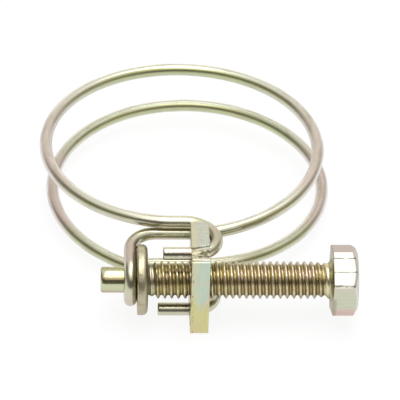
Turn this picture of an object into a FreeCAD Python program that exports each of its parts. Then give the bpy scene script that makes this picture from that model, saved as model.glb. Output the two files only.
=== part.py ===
import FreeCAD, Part
import math
import os
from FreeCAD import Vector

# Double wire hose clamp with a pushing screw, lying with the axis of its two rings upright.
# Z is that axis, X runs along the screw towards its head, and the screw is on the -Y side.
# The origin is the centre of the rings. Lengths are in millimetres, angles in degrees.

# Wire and rings
wire_diameter = 2.0
ring_inside_diameter = 42.0
ring_arc_count = 8
ring_sideways_shift = 0.53
ring_left_height = 4.35
ring_back_height = 3.55
ring_right_height = 4.05
front_flattening = 0.2
front_corner_radius = 10.0

# Hooks that hold the nut plate, bent from the ends of the wire
hook_approach_radius = 4.9
hook_return_radius = 3.25
hook_overhang = 2.15
upper_stub_length = 4.3
lower_stub_length = 4.95
stub_end_rounding = 0.2
stub_lead = 0.4
stub_rise = 0.22
crossing_gap = 0.2

# Eye that the screw pushes on, bent from the middle of the wire
eye_bend_radius = 4.1
eye_clearance = 0.1

# Nut plate
plate_centre_x = 1.54
plate_thickness = 2.9
plate_width = 9.95
plate_setback = 0.44
plate_cover = 0.93
plate_edge_radius = 0.3
wire_seat_clearance = 0.04
thread_clearance = 0.08

# Staked strip over each hook wire, where the plate is hammered down
stake_seam_reach = 0.75
stake_seam_slant = 0.7
stake_depth = 0.3
stake_rise = 0.12
chisel_mark_length = 1.1
chisel_mark_depth = 0.35
chisel_mark_count = 3

# Screw
thread_diameter = 5.9
thread_length = 28.5
thread_shown_inside = 6.55
thread_lead_length = 1.4
thread_lead_depth = 0.6
pilot_diameter = 4.0
pilot_overhang = 3.6
pilot_end_bevel = 0.25
neck_diameter = 5.35
neck_length = 1.6
neck_fillet = 1.1
head_across_flats = 10.0
head_height = 3.9
head_bevel_angle = 30.0
head_bevel_start = 0.94
head_turn = -3.5

# Washer between the eye and the thread
washer_diameter = 11.0
washer_thickness = 1.6
washer_bore_clearance = 0.1
washer_edge_bevel = 0.3
washer_side_gap = 0.05

# Places that follow from the sizes above
wire_radius = wire_diameter / 2
ring_radius = ring_inside_diameter / 2 + wire_radius
run_y = front_flattening - ring_radius
stub_y = run_y - hook_approach_radius - hook_return_radius
screw_y = stub_y + stub_lead
eye_height = pilot_diameter / 2 + eye_clearance + wire_radius
hook_height = eye_height + wire_diameter + crossing_gap
plate_height = 2 * (hook_height + wire_radius + plate_cover)
plate_front_y = screw_y + plate_setback - plate_width / 2
plate_inner_x = plate_centre_x - plate_thickness / 2
plate_outer_x = plate_centre_x + plate_thickness / 2
hook_x = plate_outer_x + hook_overhang - wire_radius
thread_start_x = plate_inner_x - thread_shown_inside
washer_x = thread_start_x - washer_side_gap - washer_thickness
eye_x = washer_x - washer_side_gap - wire_radius
pilot_end_x = eye_x - wire_radius - pilot_overhang
screw_line = Vector(0, screw_y, 0)
along_screw = Vector(1, 0, 0)


def bent_path(corners):
    """A path of straight runs with an arc at each corner.

    Each corner is a point and its reach, the distance from the point to where its arc starts and ends.
    """
    edges = []
    here = corners[0][0]
    for number in range(1, len(corners) - 1):
        point, reach = corners[number]
        toward = (point - corners[number - 1][0]).normalize()
        away = (corners[number + 1][0] - point).normalize()
        arc_start = point - toward * reach
        arc_end = point + away * reach
        bulge = reach * math.tan(toward.getAngle(away) / 4)
        arc_middle = point + (away - toward).normalize() * bulge
        if (arc_start - here).Length > 1e-5:
            edges.append(Part.LineSegment(here, arc_start).toShape())
        edges.append(Part.Arc(arc_start, arc_middle, arc_end).toShape())
        here = arc_end
    edges.append(Part.LineSegment(here, corners[-1][0]).toShape())
    return Part.Wire(edges)


def round_tube(corners, radius):
    """A round bar that follows the bent path through the corners."""
    path = bent_path(corners)
    heading = corners[1][0] - corners[0][0]
    section = Part.makeCircle(radius, corners[0][0], heading)
    return path.makePipe(Part.Face(Part.Wire([section])))


def hook_corners(stub_length):
    """From a cut end through the nut plate, round the hook and to the first ring corner."""
    stub_end = Vector(plate_inner_x - stub_length, stub_y, hook_height + stub_rise)
    stub_corner = Vector(hook_x, stub_y, hook_height + stub_rise)
    run_corner = Vector(hook_x, run_y, hook_height)
    approach = (run_corner - stub_corner).Length - hook_return_radius
    return [(stub_end, 0), (stub_corner, hook_return_radius), (run_corner, approach)]


def ring_height(turned):
    """Height of the upper ring above the middle plane, at an angle round from its front."""
    heights = [hook_height, ring_left_height, ring_back_height, ring_right_height, eye_height]
    quarter = int(turned // 90)
    share = turned / 90 - quarter
    return heights[quarter] * (1 - share) + heights[quarter + 1] * share


def ring_corners(shift):
    """The upper ring from its hook, round the left, back and right sides, to the eye."""
    lean = math.acos((-run_y - front_corner_radius) / (ring_radius - front_corner_radius))
    reach = front_corner_radius * math.tan(lean / 2)
    front_x = (ring_radius - front_corner_radius) * math.sin(lean) + reach
    step = (2 * math.pi - 2 * lean) / ring_arc_count
    corner_radius = ring_radius / math.cos(step / 2)
    points = [Vector(shift - front_x, run_y, hook_height)]
    for number in range(ring_arc_count):
        turned = lean + (number + 0.5) * step
        x = shift - corner_radius * math.sin(turned)
        y = -corner_radius * math.cos(turned)
        points.append(Vector(x, y, ring_height(math.degrees(turned))))
    points.append(Vector(shift + front_x, run_y, eye_height))
    corners = [(points[0], reach)]
    for last, point in zip(points, points[1:]):
        reach = (point - last).Length - reach
        corners.append((point, reach))
    return corners


def eye_corners():
    """The upper half of the eye, from the ring's end to the front of the screw's pilot."""
    return [
        (Vector(eye_x, run_y, eye_height), eye_bend_radius),
        (Vector(eye_x, screw_y - eye_height, eye_height), eye_height),
    ]


def mirrored_down(corners):
    """The same corners below the middle plane, in the opposite order."""
    flipped = [(Vector(point.x, point.y, -point.z), reach) for point, reach in corners]
    return flipped[::-1]


def rounded_ends(bar, end_points):
    """The bar with the rims of its two cut ends broken."""
    rims = []
    for edge in bar.Edges:
        for end_point in end_points:
            if (edge.CenterOfMass - end_point).Length < wire_radius / 10:
                rims.append(edge)
    return bar.makeFillet(stub_end_rounding, rims)


def make_hose_wire():
    """One wire: hook, ring, eye, ring and hook."""
    upper = hook_corners(upper_stub_length) + ring_corners(-ring_sideways_shift) + eye_corners()
    lower = hook_corners(lower_stub_length) + ring_corners(ring_sideways_shift) + eye_corners()
    lower = mirrored_down(lower)
    bar = round_tube(upper + lower, wire_radius)
    return rounded_ends(bar, [upper[0][0], lower[-1][0]])


def hook_seat():
    """The room for the upper hook wire, a little wider than the wire."""
    corners = hook_corners(2 * upper_stub_length)
    beyond = Vector(hook_x - 3 * hook_approach_radius, run_y, hook_height)
    return round_tube(corners + [(beyond, 0)], wire_radius + wire_seat_clearance)


def staked_strip():
    """The metal that hammering has pushed down along the plate's upper front edge."""
    top = plate_height / 2
    seam = screw_y - stake_seam_reach
    near = Vector(plate_inner_x - 1, seam - stake_seam_slant / 2, top - stake_depth)
    far = Vector(plate_outer_x + 1, seam + stake_seam_slant / 2, top - stake_depth)
    lift = Vector(0, 0, 2 * stake_depth)
    forward = Vector(0, plate_front_y - 1 - seam, stake_rise)
    strip = Part.makePolygon([near, far, far + forward, near + forward, near])
    return Part.Face(strip).extrude(lift)


def chisel_marks():
    """Three-sided dents in the staked strip, side by side."""
    marks = []
    spacing = plate_thickness / (chisel_mark_count + 1)
    base_z = plate_height / 2 - stake_depth + stake_rise
    middle_y = (screw_y - stake_seam_reach + plate_front_y) / 2
    for number in range(chisel_mark_count):
        x = plate_inner_x + spacing * (number + 1)
        tip = Vector(x, middle_y, base_z - chisel_mark_depth)
        rim = []
        for turn in (90, 210, 330):
            swing = math.radians(turn + 40 * number)
            reach = chisel_mark_length / 2
            rim.append(Vector(x + reach * math.cos(swing), middle_y + reach * math.sin(swing), base_z))
        marks.append(pyramid(rim, tip))
    return marks


def pyramid(rim, tip):
    """A solid with a flat polygon for its base, closed to one point."""
    closed_rim = rim + [rim[0]]
    sides = [Part.Face(Part.makePolygon(closed_rim))]
    for start, end in zip(closed_rim, closed_rim[1:]):
        sides.append(Part.Face(Part.makePolygon([start, end, tip, start])))
    return Part.Solid(Part.Shell(sides))


def make_nut_plate():
    """Plate with the screw's threaded hole, seats for both hook wires and staked edges."""
    corner = Vector(plate_inner_x, plate_front_y, -plate_height / 2)
    block = Part.makeBox(plate_thickness, plate_width, plate_height, corner)
    block = block.makeFillet(plate_edge_radius, block.Edges)
    bore_radius = thread_diameter / 2 + thread_clearance
    bore_start = screw_line + along_screw * (plate_inner_x - 1)
    bore = Part.makeCylinder(bore_radius, plate_thickness + 2, bore_start, along_screw)
    cuts = [bore]
    for cut in [hook_seat(), staked_strip()] + chisel_marks():
        cuts.append(cut)
        cuts.append(cut.mirror(Vector(0, 0, 0), Vector(0, 0, 1)))
    return block.cut(cuts)


def make_washer():
    """Plain washer that turns on the pilot between the eye and the thread."""
    start = screw_line + along_screw * washer_x
    disc = Part.makeCylinder(washer_diameter / 2, washer_thickness, start, along_screw)
    rims = [edge for edge in disc.Edges if edge.isClosed()]
    disc = disc.makeChamfer(washer_edge_bevel, rims)
    hole_radius = pilot_diameter / 2 + washer_bore_clearance
    hole = Part.makeCylinder(hole_radius, washer_thickness, start, along_screw)
    return disc.cut(hole)


def screw_outline():
    """Half section of the screw's turned length: its corners, as distance along and from its axis."""
    pilot_radius = pilot_diameter / 2
    thread_radius = thread_diameter / 2
    neck_radius = neck_diameter / 2
    head_start = thread_start_x + thread_length
    neck_start = head_start - neck_length
    return [
        (head_start, neck_radius + neck_fillet),
        (head_start, 0),
        (pilot_end_x, 0),
        (pilot_end_x, pilot_radius - pilot_end_bevel),
        (pilot_end_x + pilot_end_bevel, pilot_radius),
        (thread_start_x, pilot_radius),
        (thread_start_x, thread_radius - thread_lead_depth),
        (thread_start_x + thread_lead_length, thread_radius),
        (neck_start + neck_radius - thread_radius, thread_radius),
        (neck_start, neck_radius),
        (head_start - neck_fillet, neck_radius),
    ]


def make_head():
    """Hexagon head with the corners of its outer face bevelled."""
    start = thread_start_x + thread_length
    corner_radius = head_across_flats / 2 / math.cos(math.pi / 6)
    corners = []
    for number in range(7):
        turn = math.radians(head_turn + 30 + 60 * number)
        y = screw_y - corner_radius * math.cos(turn)
        corners.append(Vector(start, y, corner_radius * math.sin(turn)))
    prism = Part.Face(Part.makePolygon(corners)).extrude(along_screw * head_height)
    face_radius = head_bevel_start * head_across_flats / 2
    flare = head_height / math.tan(math.radians(head_bevel_angle))
    base = screw_line + along_screw * start
    cone = Part.makeCone(face_radius + flare, face_radius, head_height, base, along_screw)
    return prism.common(cone)


def make_screw():
    """Hexagon screw: a plain pilot, the thread as a plain length, and a neck that flares into the head."""
    points = [Vector(x, screw_y + radius, 0) for x, radius in screw_outline()]
    inward = neck_fillet * math.sqrt(0.5)
    flare_centre = points[0] - along_screw * neck_fillet
    flare = Part.Arc(points[-1], flare_centre + Vector(inward, -inward, 0), points[0])
    section = Part.Face(Part.Wire(Part.makePolygon(points).Edges + [flare.toShape()]))
    shank = section.revolve(screw_line, along_screw, 360)
    return shank.fuse(make_head()).removeSplitter()


pieces = {
    "hose_wire": make_hose_wire(),
    "nut_plate": make_nut_plate(),
    "eye_washer": make_washer(),
    "hex_screw": make_screw(),
}

os.makedirs("parts", exist_ok=True)
for name, shape in pieces.items():
    shape.exportStep("parts/" + name + ".step")
    box = shape.optimalBoundingBox(False)
    print(name, shape.ShapeType, shape.isValid(), round(shape.Volume, 3), len(shape.Solids), len(shape.Faces))
    print("  x", round(box.XMin, 2), round(box.XMax, 2), "y", round(box.YMin, 2), round(box.YMax, 2),
          "z", round(box.ZMin, 2), round(box.ZMax, 2))
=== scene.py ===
import math
import bmesh
import bpy
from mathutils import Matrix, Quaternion, Vector, noise


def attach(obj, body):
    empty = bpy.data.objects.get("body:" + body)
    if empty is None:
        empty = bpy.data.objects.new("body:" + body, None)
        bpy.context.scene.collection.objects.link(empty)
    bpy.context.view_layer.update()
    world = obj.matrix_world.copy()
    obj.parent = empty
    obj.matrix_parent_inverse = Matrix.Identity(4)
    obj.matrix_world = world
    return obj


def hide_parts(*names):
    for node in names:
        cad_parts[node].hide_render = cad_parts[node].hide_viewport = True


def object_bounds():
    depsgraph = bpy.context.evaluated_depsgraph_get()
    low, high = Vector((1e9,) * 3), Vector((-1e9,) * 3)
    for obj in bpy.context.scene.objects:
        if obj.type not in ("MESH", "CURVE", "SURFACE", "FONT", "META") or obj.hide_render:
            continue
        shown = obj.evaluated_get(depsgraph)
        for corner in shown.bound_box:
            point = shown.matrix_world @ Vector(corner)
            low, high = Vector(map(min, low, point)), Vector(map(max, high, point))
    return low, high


# Looks of a double wire hose clamp: yellow-plated steel on a pale floor
# Lengths are metres, but millimetres in the settings of the camera and of each piece
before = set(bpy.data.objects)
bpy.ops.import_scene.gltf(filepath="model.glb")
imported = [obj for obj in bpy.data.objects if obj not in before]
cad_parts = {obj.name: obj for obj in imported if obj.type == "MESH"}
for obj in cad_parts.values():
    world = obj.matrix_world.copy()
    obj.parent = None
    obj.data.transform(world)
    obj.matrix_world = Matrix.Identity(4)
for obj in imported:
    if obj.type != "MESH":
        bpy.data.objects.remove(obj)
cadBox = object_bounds()
mm = 0.001
mmPerMetre = 1000.0
mergeDistance = 1e-7
print("frame loaded")


def addObject(name, data):
    made = bpy.data.objects.new(name, data)
    bpy.context.scene.collection.objects.link(made)
    return made


# Camera, set to the photograph's angle
cameraSettings = {
    "azimuth": -2.655,
    "elevation": 37.742,
    "roll": 1.776,
    "distance": 478.4,
    "target": (0.433, -14.0, 0.0),
    "targetPixel": (189.57, 218.38),
    "pixelsPerMm": 6.287,
    "imageSize": 400,
    "sensorWidth": 36.0,
    "clipMetres": (0.01, 20),
}


def makeCamera(s):
    azimuth, elevation, roll = (math.radians(s[key]) for key in ("azimuth", "elevation", "roll"))
    back = Vector((
        math.sin(azimuth) * math.cos(elevation),
        -math.cos(azimuth) * math.cos(elevation),
        math.sin(elevation),
    ))
    level = Vector((math.cos(azimuth), math.sin(azimuth), 0))
    upright = back.cross(level)
    right = level * math.cos(roll) + upright * math.sin(roll)
    up = upright * math.cos(roll) - level * math.sin(roll)
    target = Vector(s["target"]) * mm
    eye = target + back * s["distance"] * mm

    # The camera looks past the target, so that the target falls on its own pixel
    middle = s["imageSize"] / 2
    aside = (middle - s["targetPixel"][0]) / s["pixelsPerMm"] * mm
    above = (s["targetPixel"][1] - middle) / s["pixelsPerMm"] * mm
    away = (eye - (target + right * aside + up * above)).normalized()
    right = up.cross(away).normalized()
    up = away.cross(right)

    data = bpy.data.cameras.new("photoCamera")
    data.sensor_width = s["sensorWidth"]
    data.lens = s["sensorWidth"] * s["pixelsPerMm"] * s["distance"] / s["imageSize"]
    data.clip_start, data.clip_end = s["clipMetres"]
    camera = addObject("photoCamera", data)
    matrix = camera.matrix_world.copy()
    for column, axis in enumerate((right, up, away, eye)):
        for row in range(3):
            matrix[row][column] = axis[row]
    camera.matrix_world = matrix
    bpy.context.scene.camera = camera


makeCamera(cameraSettings)
bpy.context.scene.view_settings.view_transform = "Standard"
print("camera made")


# Node trees are written as Python expressions: a Wire is a socket that can be added, multiplied and so on
class Wire:
    def __init__(self, tree, socket):
        self.tree = tree
        self.socket = socket

    def maths(self, operation, *others):
        return self.tree.maths(operation, self, *others)

    def __add__(self, other):
        return self.tree.maths("ADD", self, other)

    def __radd__(self, other):
        return self.tree.maths("ADD", other, self)

    def __sub__(self, other):
        return self.tree.maths("SUBTRACT", self, other)

    def __rsub__(self, other):
        return self.tree.maths("SUBTRACT", other, self)

    def __mul__(self, other):
        return self.tree.maths("MULTIPLY", self, other)

    def __rmul__(self, other):
        return self.tree.maths("MULTIPLY", other, self)

    def __truediv__(self, other):
        return self.tree.maths("DIVIDE", self, other)

    def __pow__(self, other):
        return self.tree.maths("POWER", self, other)


class Tree:
    def __init__(self, nodeTree):
        self.nodeTree = nodeTree

    def node(self, kind, settings=None, inputs=None, output=0):
        made = self.nodeTree.nodes.new(kind)
        for name, value in (settings or {}).items():
            if name == "stops":
                self.setStops(made.color_ramp, value)
            else:
                setattr(made, name, value)
        for name, value in (inputs or {}).items():
            self.plug(made.inputs[name], value)
        return Wire(self, made.outputs[output]) if made.outputs else made

    def setStops(self, ramp, stops):
        while len(ramp.elements) < len(stops):
            ramp.elements.new(0.5)
        for element, (place, colour) in zip(ramp.elements, stops):
            element.position = place
            element.color = (*colour, 1)

    def plug(self, socket, value):
        if isinstance(value, Wire):
            self.nodeTree.links.new(value.socket, socket)
        else:
            socket.default_value = value

    def maths(self, operation, *values):
        return self.node("ShaderNodeMath", {"operation": operation}, dict(enumerate(values)))

    def smooth(self, value, start, end, low=0.0, high=1.0):
        inputs = {0: value, 1: start, 2: end, 3: low, 4: high}
        return self.node("ShaderNodeMapRange", {"interpolation_type": "SMOOTHSTEP"}, inputs)

    def zone(self, limits, *values):  # 1 where every value is past its pair of limits, 0 before any of them
        shares = [self.smooth(value, start, end) for value, (start, end) in zip(values, limits)]
        share = shares[0]
        for other in shares[1:]:
            share = share * other
        return share

    def band(self, value, middle, half):  # full in the middle, with short soft edges
        off = value - middle
        return self.smooth(off.maths("ABSOLUTE"), half * 0.7, half * 1.1, 1.0, 0.0)

    def line(self, value, middle, width):  # full only in the middle
        off = value - middle
        return self.smooth(off.maths("ABSOLUTE"), 0.0, width, 1.0, 0.0)

    def mix(self, share, first, second):
        inputs = {0: share, 6: first, 7: second}
        return self.node("ShaderNodeMix", {"data_type": "RGBA", "blend_type": "MIX"}, inputs, output=2)

    def split(self, vector):
        made = self.nodeTree.nodes.new("ShaderNodeSeparateXYZ")
        self.plug(made.inputs[0], vector)
        return [Wire(self, socket) for socket in made.outputs]

    def join(self, x, y, z):
        return self.node("ShaderNodeCombineXYZ", None, {0: x, 1: y, 2: z})

    def facing(self):
        return self.split(self.node("ShaderNodeNewGeometry", output="Normal"))

    def noise(self, place, scale, detail=2.0, rough=0.5):
        inputs = {"Vector": place, "Scale": scale, "Detail": detail, "Roughness": rough}
        return self.node("ShaderNodeTexNoise", None, inputs)


def newTree(idBlock):
    idBlock.use_nodes = True
    idBlock.node_tree.nodes.clear()
    return Tree(idBlock.node_tree)


def distance(across, up):
    return (across * across + up * up) ** 0.5


# World: a white tent, also in the metal's reflections
white = (1, 1, 1, 1)
worldSettings = {"tent": 0.62, "seenWhite": 1.0}


def makeWorld(s):
    world = bpy.data.worlds.new("whiteTent")
    bpy.context.scene.world = world
    t = newTree(world)
    tent = t.node("ShaderNodeBackground", None, {"Color": white, "Strength": s["tent"]})
    seen = t.node("ShaderNodeBackground", None, {"Color": white, "Strength": s["seenWhite"]})
    both = t.node("ShaderNodeMixShader", None, {0: seenDirectly(t), 1: tent, 2: seen})
    t.node("ShaderNodeOutputWorld", None, {"Surface": both})


def seenDirectly(t):
    rays = ("Is Camera Ray", "Is Glossy Ray", "Is Transmission Ray")
    camera, glossy, through = (t.node("ShaderNodeLightPath", output=name) for name in rays)
    return camera.maths("MAXIMUM", glossy.maths("MAXIMUM", through))


# Floor, the dim screen that the metal mirrors, and the lamp
floorSettings = {
    "size": 4.0,
    "paint": (0.86, 0.86, 0.855, 1),
    "seenPaint": (0.16, 0.16, 0.16, 1),  # keeps the object's shadow on the white
    "seenWhite": 0.87,
}
screenSettings = {
    "radius": 0.7,
    "height": 0.86,
    "segments": 64,
    "tint": (1.0, 0.95, 0.88, 1),
    "front": 0.12,  # levels of light
    "left": 0.20,
    "right": 0.32,
    "back": 0.80,
    "lowLift": 0.22,
    "backGlow": 0.75,
    "frontFrom": 0.55,  # shares of the radius
    "backFrom": (0.35, 0.85),
    "lowTo": 0.28,  # heights and distances
    "glowSide": (0.10, 0.28),
    "glowTop": (0.18, 0.34),
    "fade": (0.52, 0.73),
    "fadeAside": 0.15,
    "fadeFront": 0.07,
}
overheadLamp = {"place": (0.03, -0.02, 0.62), "aim": (0, -0.01, 0), "size": (0.7, 0.36), "power": 1.75}


def makeFloor(s):
    mesh = bpy.data.meshes.new("floor")
    half = s["size"] / 2
    height = cadBox[0].z
    corners = [(-half, -half, height), (half, -half, height), (half, half, height), (-half, half, height)]
    mesh.from_pydata(corners, [], [(0, 1, 2, 3)])
    floor = addObject("floor", mesh)
    material = bpy.data.materials.new("paleFloor")
    t = newTree(material)
    paint = t.node("ShaderNodeBsdfDiffuse", None, {"Color": s["paint"]})
    seenPaint = t.node("ShaderNodeBsdfDiffuse", None, {"Color": s["seenPaint"]})
    glow = t.node("ShaderNodeEmission", None, {"Color": white, "Strength": s["seenWhite"]})
    bright = t.node("ShaderNodeAddShader", None, {0: seenPaint, 1: glow})
    both = t.node("ShaderNodeMixShader", None, {0: seenDirectly(t), 1: paint, 2: bright})
    t.node("ShaderNodeOutputMaterial", None, {"Surface": both})
    mesh.materials.append(material)


def makeDimScreen(s):
    low = cadBox[0].z
    radius = s["radius"]
    count = s["segments"]
    vertices = []
    faces = []
    for number in range(count):
        turn = 2 * math.pi * number / count
        for height in (low, low + s["height"]):
            vertices.append((radius * math.cos(turn), radius * math.sin(turn), height))
        after = (number + 1) % count
        faces.append((2 * number, 2 * number + 1, 2 * after + 1, 2 * after))
    mesh = bpy.data.meshes.new("dimScreen")
    mesh.from_pydata(vertices, [], faces)
    screen = addObject("dimScreen", mesh)
    screen.visible_camera = False
    screen.visible_diffuse = False
    screen.visible_shadow = False
    mesh.materials.append(screenLight(s))


def screenLight(s):
    material = bpy.data.materials.new("dimScreen")
    t = newTree(material)
    radius = s["radius"]
    x, y, z = t.split(t.node("ShaderNodeTexCoord", output="Object"))
    side = t.smooth(x, -radius, radius, s["left"], s["right"])
    front = t.smooth(y, -radius, -s["frontFrom"] * radius, 1.0, 0.0)
    back = t.smooth(y, s["backFrom"][0] * radius, s["backFrom"][1] * radius)
    level = side * (1 - front) + s["front"] * front
    level = level * (1 - back) + s["back"] * back
    level = level + s["lowLift"] * (1 - front) * (1 - back) * t.smooth(z, 0.0, s["lowTo"], 1.0, 0.0)
    middle = t.smooth(x.maths("ABSOLUTE"), *s["glowSide"], 1.0, 0.0) * t.smooth(z, *s["glowTop"], 1.0, 0.0)
    level = level + s["backGlow"] * middle * back
    upper = t.smooth(z + x * s["fadeAside"] + front * s["fadeFront"], *s["fade"])
    light = {"Color": s["tint"], "Strength": level * (1 - upper) + upper}
    t.node("ShaderNodeOutputMaterial", None, {"Surface": t.node("ShaderNodeEmission", None, light)})
    return material


def makeLamp(name, s):
    data = bpy.data.lights.new(name, "AREA")
    data.shape = "RECTANGLE"
    data.size, data.size_y = s["size"]
    data.energy = s["power"]
    lamp = addObject(name, data)
    place = Vector(s["place"])
    lamp.location = place
    lamp.rotation_mode = "QUATERNION"
    lamp.rotation_quaternion = (place - Vector(s["aim"])).to_track_quat("Z", "Y")


makeWorld(worldSettings)
makeFloor(floorSettings)
makeDimScreen(screenSettings)
makeLamp("overhead", overheadLamp)
print("stage and lamps made")


# Yellow-passivated zinc: each piece has its own tints, which drift over it, its own stains, and painted
# shade and highlights
# In a film's settings a pair of numbers says where a stain or a painted shade starts and where it is full
undersideShade = (0.10, 0.09, 0.07, 1)


def startPlating(name, s):
    material = bpy.data.materials.new(name)
    t = newTree(material)
    metres = t.node("ShaderNodeTexCoord", output="Object")
    place = t.node("ShaderNodeVectorMath", {"operation": "SCALE"}, {0: metres, 3: mmPerMetre})
    tint = t.node("ShaderNodeValToRGB", {"stops": s["tints"]}, {0: driftOf(t, place, s)})
    fine = t.noise(place, 1.3, 4.0, 0.6)
    speck = t.noise(place, 5.5, 3.0, 0.6)
    return material, t, place, tint, fine, speck


def driftOf(t, place, s):
    return t.noise(place, s["patch"], 3.0, 0.55)


def finishPlating(t, s, colour, roughness, height, undersideShadeShare):
    # Painted shade: faces turned down are darkened towards undersideShade
    under = t.smooth(t.facing()[2], 0.0, -0.7)
    colour = t.mix(under * undersideShadeShare, colour, undersideShade)
    bump = t.node("ShaderNodeBump", None, {"Strength": 1.0, "Distance": s["bump"] * mm, "Height": height})
    surface = t.node("ShaderNodeBsdfPrincipled", None, {
        "Base Color": colour,
        "Metallic": 1.0,
        "Roughness": roughness,
        "Normal": bump,
        "Specular Tint": s["edgeTint"],
    })
    t.node("ShaderNodeOutputMaterial", None, {"Surface": surface})


# What the pieces share: geometry trees, meshes, shading
def geometryTree(name, fields):
    group = bpy.data.node_groups.new(name, "GeometryNodeTree")
    group.interface.new_socket("Geometry", in_out="INPUT", socket_type="NodeSocketGeometry")
    for field, kind in fields:
        group.interface.new_socket(field, in_out="INPUT", socket_type=kind)
    group.interface.new_socket("Geometry", in_out="OUTPUT", socket_type="NodeSocketGeometry")
    t = Tree(group)
    entry = group.nodes.new("NodeGroupInput")
    given = {socket.name: Wire(t, socket) for socket in entry.outputs if socket.name}
    return group, t, given


def closeTree(t, shape, material):
    whole = t.node("GeometryNodeRealizeInstances", None, {"Geometry": shape})
    painted = t.node("GeometryNodeSetMaterial", None, {"Geometry": whole, "Material": material})
    t.node("NodeGroupOutput", None, {"Geometry": painted})


def runTree(source, name, group, values):
    modifier = source.modifiers.new(name, "NODES")
    modifier.node_group = group
    for item in group.interface.items_tree:
        if item.item_type == "SOCKET" and item.in_out == "INPUT" and item.name in values:
            modifier[item.identifier] = values[item.name]
    mesh = takeMesh(source, modifier)
    bpy.data.objects.remove(source)
    mesh.name = name
    return addObject(name, mesh)


def takeMesh(piece, modifier):
    bpy.context.view_layer.update()
    graph = bpy.context.evaluated_depsgraph_get()
    mesh = bpy.data.meshes.new_from_object(piece.evaluated_get(graph), depsgraph=graph)
    piece.modifiers.remove(modifier)
    return mesh


def meshPiece(name, vertices, faces):
    mesh = bpy.data.meshes.new(name)
    mesh.from_pydata(vertices, [], faces)
    work = bmesh.new()
    work.from_mesh(mesh)
    bmesh.ops.remove_doubles(work, verts=work.verts, dist=mergeDistance)
    bmesh.ops.recalc_face_normals(work, faces=work.faces)
    work.to_mesh(mesh)
    work.free()
    return addObject(name, mesh)


def loftRings(name, rings):
    count = len(rings[0])
    vertices = [point for ring in rings for point in ring]
    faces = []
    for number in range(len(rings) - 1):
        for side in range(count):
            after = (side + 1) % count
            base = number * count
            faces.append((base + side, base + count + side, base + count + after, base + after))
    for ring, order in ((0, -1), (len(rings) - 1, 1)):
        middle = sum((Vector(point) for point in rings[ring]), Vector()) / count
        for side in range(count):
            after = (side + 1) % count
            pair = (ring * count + side, ring * count + after)[::order]
            faces.append((*pair, len(vertices)))
        vertices.append(tuple(middle))
    return meshPiece(name, vertices, faces)


def smoothStep(value, start, end):
    share = min(max((value - start) / (end - start), 0.0), 1.0)
    return share * share * (3 - 2 * share)


def smoothShade(piece, angle=32):
    piece.data.shade_smooth()
    piece.data.set_sharp_from_angle(angle=math.radians(angle))


def placePiece(piece, body, node):
    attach(piece, body)
    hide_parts(node)


# The hose wire: one route of straight runs and arcs, made a round tube along it
wireSettings = {
    "radius": 1.0,
    "ringRadius": 22.0,
    "ringShift": 0.53,
    "ringHeights": (5.3, 4.35, 3.55, 4.05, 3.1),  # at each quarter turn, from the hook to the eye
    "ringArcs": 8,
    "runY": -21.8,
    "frontCorner": 10.0,
    "hookBends": (3.25, 4.9),
    "hookX": 4.14,
    "stubRise": 0.22,
    "stubEnds": (-4.21, -4.86),
    "eyeX": -9.16,
    "eyeBend": 4.1,
    "screwY": -29.55,
    "endRounding": 0.2,
    "step": 0.3,
    "sides": 28,
    "film": {
        "tints": [(0.30, (0.57, 0.56, 0.42)), (0.46, (0.64, 0.62, 0.48)), (0.60, (0.60, 0.61, 0.44)),
                  (0.74, (0.66, 0.58, 0.47))],
        "patch": 0.11,
        "roughness": 0.22,
        "ringRoughness": 0.09,
        "drawn": 0.05,
        "grain": 0.10,
        "bump": 0.008,
        "undersideShadeShare": 0.05,
        "edgeTint": white,
        "pink": (0.66, 0.55, 0.52, 1),
        "green": (0.52, 0.58, 0.33, 1),
        "pale": (0.65, 0.66, 0.60, 1),
        "olive": (0.44, 0.44, 0.20, 1),
        "edge": (0.94, 0.93, 0.91, 1),
        "streak": (0.44, 0.40, 0.28, 1),
        "underside": (0.66, 0.55, 0.46, 1),
        "stubReflectionShade": (0.17, 0.15, 0.12, 1),
        "shade": (0.33, 0.28, 0.17, 1),
        "glint": (0.90, 0.96, 0.74, 1),
        "bruised": (0.27, 0.22, 0.15, 1),
        "flank": ((15.0, 23.0), (14.0, 4.0), (-16.0, -10.0)),
        "passing": ((7.5, 9.5), (-9.0, -14.0), (0.0, -2.0)),
        "behind": (12.0, 22.0),
        "ring": (-21.5, -20.5),
        "eye": ((-7.8, -8.3), (-24.0, -25.5)),
        "eyeTurn": (-30.4, -29.2),
        "eyeFront": (-30.0, -31.0),
        "eyeRun": ((-8.0, -7.0), (-21.0, -21.3), (1.9, 2.2), (4.3, 4.1)),
        "stub": ((0.2, -0.2), (-28.0, -28.6), (4.0, 4.4)),
        "bruise": (3.75, -30.75),  # where its middle is
        "bruiseReach": (1.3, 0.5),
        "bruiseHeight": (5.5, 6.1),
    },
}


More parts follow.
